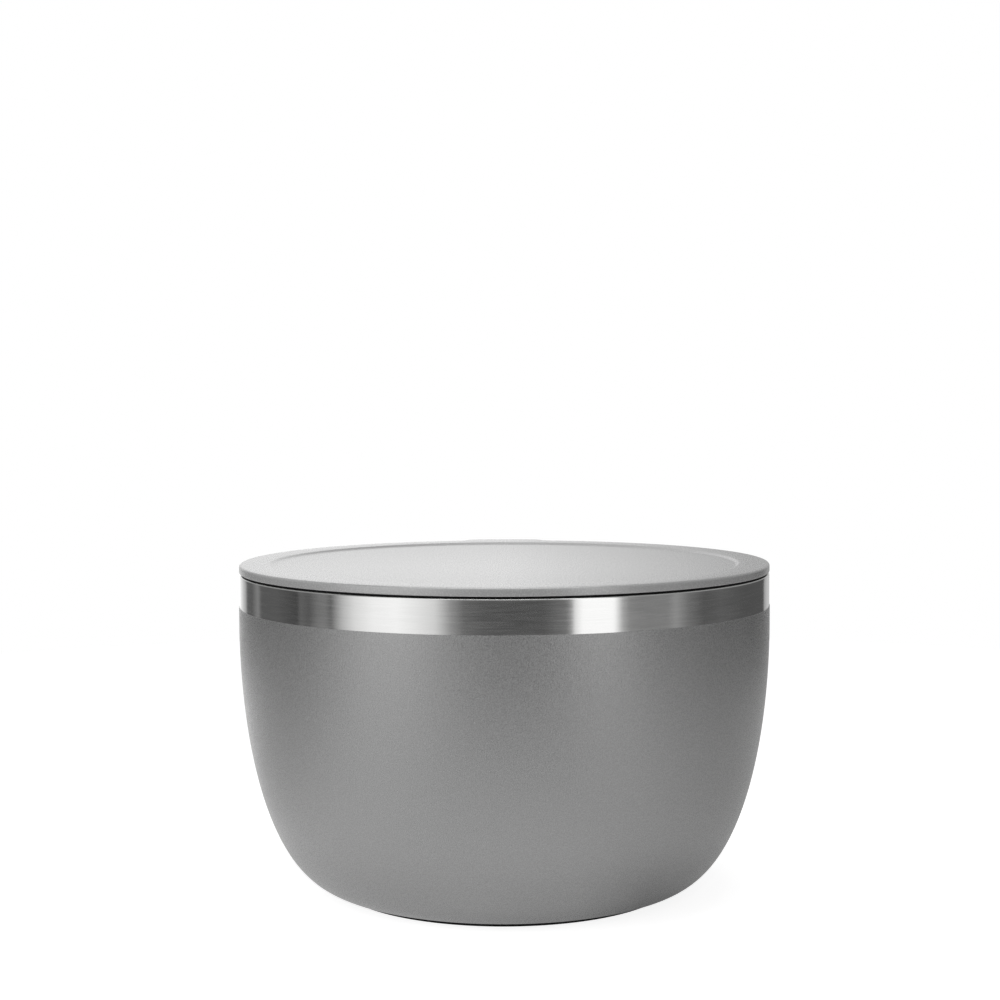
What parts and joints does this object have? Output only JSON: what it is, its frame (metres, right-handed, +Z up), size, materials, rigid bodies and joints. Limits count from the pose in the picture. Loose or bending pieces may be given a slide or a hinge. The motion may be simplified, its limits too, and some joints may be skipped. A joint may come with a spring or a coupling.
{
  "type": "insulated bowl with lid",
  "caption": "Round double-walled vacuum bowl in textured coated steel with a bare steel band, and a flat press-in lid with a soft gasket and a pull tab.",
  "frame": {"origin": "on the table, at the centre of the foot ring, on the bowl's axis", "axes": "+Z up along the bowl's axis; -Y towards the viewer of the picture; the lid's pull tab points to +Y"},
  "size_m": [0.23, 0.2363, 0.1419],
  "materials": {
    "band_steel": "brushed round the bowl, fine horizontal grain",
    "inner_steel": "satin, spun, with a lip brushed like the band",
    "base_steel": "plain satin sheet",
    "coat": "fine textured powder coat, satin grey",
    "lid_plastic": "satin moulded, same grey as the coat",
    "liner_plastic": "satin moulded",
    "gasket_rubber": "soft black silicone",
    "foot_rubber": "soft black silicone",
    "seal_glass": "dark solder glass",
    "getter": "sintered grey metal"
  },
  "bodies": {
    "bowl": {"outer_shell": "band_steel", "inner_shell": "inner_steel", "powder_coat": "coat", "base_pan": "base_steel", "base_cap": "base_steel", "evac_seal": "seal_glass", "getter_tablet": "getter", "getter_strip": "base_steel", "foot_ring": "foot_rubber"},
    "lid": {"lid_cover": "lid_plastic", "lid_liner": "liner_plastic", "lid_gasket": "gasket_rubber"}
  },
  "joints": [
    {"name": "lid_lift", "type": "slide", "parent": "bowl", "child": "lid", "axis": [0, 0, 1], "range_m": [0, 0.15]}
  ]
}
